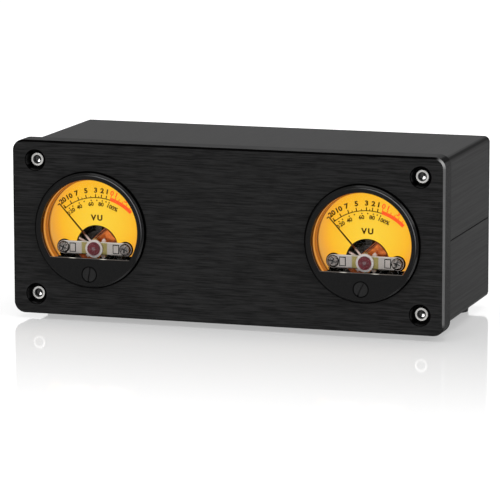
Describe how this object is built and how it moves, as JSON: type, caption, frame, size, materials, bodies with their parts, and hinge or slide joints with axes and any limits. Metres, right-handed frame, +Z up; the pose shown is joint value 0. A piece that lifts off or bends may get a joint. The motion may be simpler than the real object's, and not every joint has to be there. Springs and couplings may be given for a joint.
{
  "type": "two-channel analog level meter",
  "caption": "Box-shaped audio level indicator with amber-lit round needle meters behind D-shaped windows, brushed black front panel, split case and rear sockets.",
  "frame": {"origin": "on the floor under the middle of the whole object, knobs included", "axes": "+X to the right seen from the front, +Y from the front panel to the back, +Z up"},
  "size_m": [0.178, 0.0984, 0.0721],
  "materials": {
    "amber_diffuser": "translucent, lit from inside",
    "black_anodised": "brushed, black anodised",
    "black_moulding": "satin moulded",
    "black_rubber": "matte moulded",
    "black_steel": "blackened",
    "bridge_board": "bare glass board with tinned pads",
    "bright_steel": "nickel plated",
    "circuit_board": "solder mask",
    "clear_lens": "clear, polished",
    "component_black": "moulded",
    "copper_wire": "enamelled winding",
    "dial_card": "printed, lit from inside",
    "die_cast": "cast",
    "jewel_nut_white": "satin white",
    "knob_black": "satin turned",
    "magnet_alloy": "ground",
    "plated_contact": "gold plated",
    "plated_steel": "zinc plated",
    "pointer_paint": "dark painted",
    "screw_lacquer": "red locking lacquer",
    "soft_iron": "plated",
    "sprung_brass": "satin"
  },
  "bodies": {
    "case": {"board_components": "component_black", "bridge_screws": "bright_steel", "driver_board": "circuit_board", "feet": "black_rubber", "front_panel": "black_anodised", "front_panel_screws": "bright_steel", "input_jacks": "plated_contact", "jewel_nuts": "jewel_nut_white", "jewel_screws": "screw_lacquer", "left_backlight_board": "circuit_board", "left_bridge": "bridge_board", "left_clamp_strap": "plated_steel", "left_core_magnet": "magnet_alloy", "left_dial_plate": "dial_card", "left_light_ring": "amber_diffuser", "left_magnet_yoke": "soft_iron", "left_meter_cover": "black_moulding", "left_meter_housing": "black_moulding", "left_meter_lens": "clear_lens", "left_movement_frame": "die_cast", "level_pots": "plated_steel", "lower_shell": "black_anodised", "power_jack": "component_black", "power_switch": "component_black", "rear_panel": "black_anodised", "rear_panel_screws": "black_steel", "right_backlight_board": "circuit_board", "right_bridge": "bridge_board", "right_clamp_strap": "plated_steel", "right_core_magnet": "magnet_alloy", "right_dial_plate": "dial_card", "right_light_ring": "amber_diffuser", "right_magnet_yoke": "soft_iron", "right_meter_cover": "black_moulding", "right_meter_housing": "black_moulding", "right_meter_lens": "clear_lens", "right_movement_frame": "die_cast", "terminal_nuts": "sprung_brass", "terminal_studs": "sprung_brass", "upper_shell": "black_anodised"},
    "left_needle": {"left_pointer": "pointer_paint", "left_moving_coil": "copper_wire"},
    "left_zero_lever": {"left_zero_lever": "sprung_brass", "left_hairspring": "sprung_brass"},
    "left_zero_screw": {"left_zero_screw": "black_moulding"},
    "left_level": {"left_level_shaft": "plated_steel", "left_level_knob": "knob_black"},
    "right_needle": {"right_pointer": "pointer_paint", "right_moving_coil": "copper_wire"},
    "right_zero_lever": {"right_zero_lever": "sprung_brass", "right_hairspring": "sprung_brass"},
    "right_zero_screw": {"right_zero_screw": "black_moulding"},
    "right_level": {"right_level_shaft": "plated_steel", "right_level_knob": "knob_black"},
    "power_rocker": {"power_rocker": "component_black"}
  },
  "joints": [
    {"name": "left_zero_turn", "type": "hinge", "parent": "case", "child": "left_zero_screw", "pos_m": [-0.05605, -0.0472, 0.0194], "axis": [0, 1, 0], "range_deg": [-35, 35]},
    {"name": "left_zero_lever_turn", "type": "hinge", "parent": "case", "child": "left_zero_lever", "pos_m": [-0.05605, -0.0422, 0.0289], "axis": [0, 1, 0], "range_deg": [-3.98, 3.98]},
    {"name": "left_needle_swing", "type": "hinge", "parent": "left_zero_lever", "child": "left_needle", "pos_m": [-0.05605, -0.0412, 0.0289], "axis": [0, 1, 0], "range_deg": [0, 86], "stiffness_Nm_per_rad": 0.00002},
    {"name": "left_level_turn", "type": "hinge", "parent": "case", "child": "left_level", "pos_m": [-0.0095, 0.0317, 0.0371], "axis": [0, -1, 0], "range_deg": [-150, 150]},
    {"name": "right_zero_turn", "type": "hinge", "parent": "case", "child": "right_zero_screw", "pos_m": [0.05605, -0.0472, 0.0194], "axis": [0, 1, 0], "range_deg": [-35, 35]},
    {"name": "right_zero_lever_turn", "type": "hinge", "parent": "case", "child": "right_zero_lever", "pos_m": [0.05605, -0.0422, 0.0289], "axis": [0, 1, 0], "range_deg": [-3.98, 3.98]},
    {"name": "right_needle_swing", "type": "hinge", "parent": "right_zero_lever", "child": "right_needle", "pos_m": [0.05605, -0.0412, 0.0289], "axis": [0, 1, 0], "range_deg": [0, 86], "stiffness_Nm_per_rad": 0.00002},
    {"name": "right_level_turn", "type": "hinge", "parent": "case", "child": "right_level", "pos_m": [0.0175, 0.0317, 0.0371], "axis": [0, -1, 0], "range_deg": [-150, 150]},
    {"name": "power_rocker_tilt", "type": "hinge", "parent": "case", "child": "power_rocker", "pos_m": [-0.038, 0.0311, 0.0371], "axis": [1, 0, 0], "range_deg": [0, 22]}
  ],
  "couplings": [
    {"joint": "left_zero_turn", "follows": "left_zero_lever_turn", "ratio": -8.8},
    {"joint": "right_zero_turn", "follows": "right_zero_lever_turn", "ratio": -8.8}
  ]
}
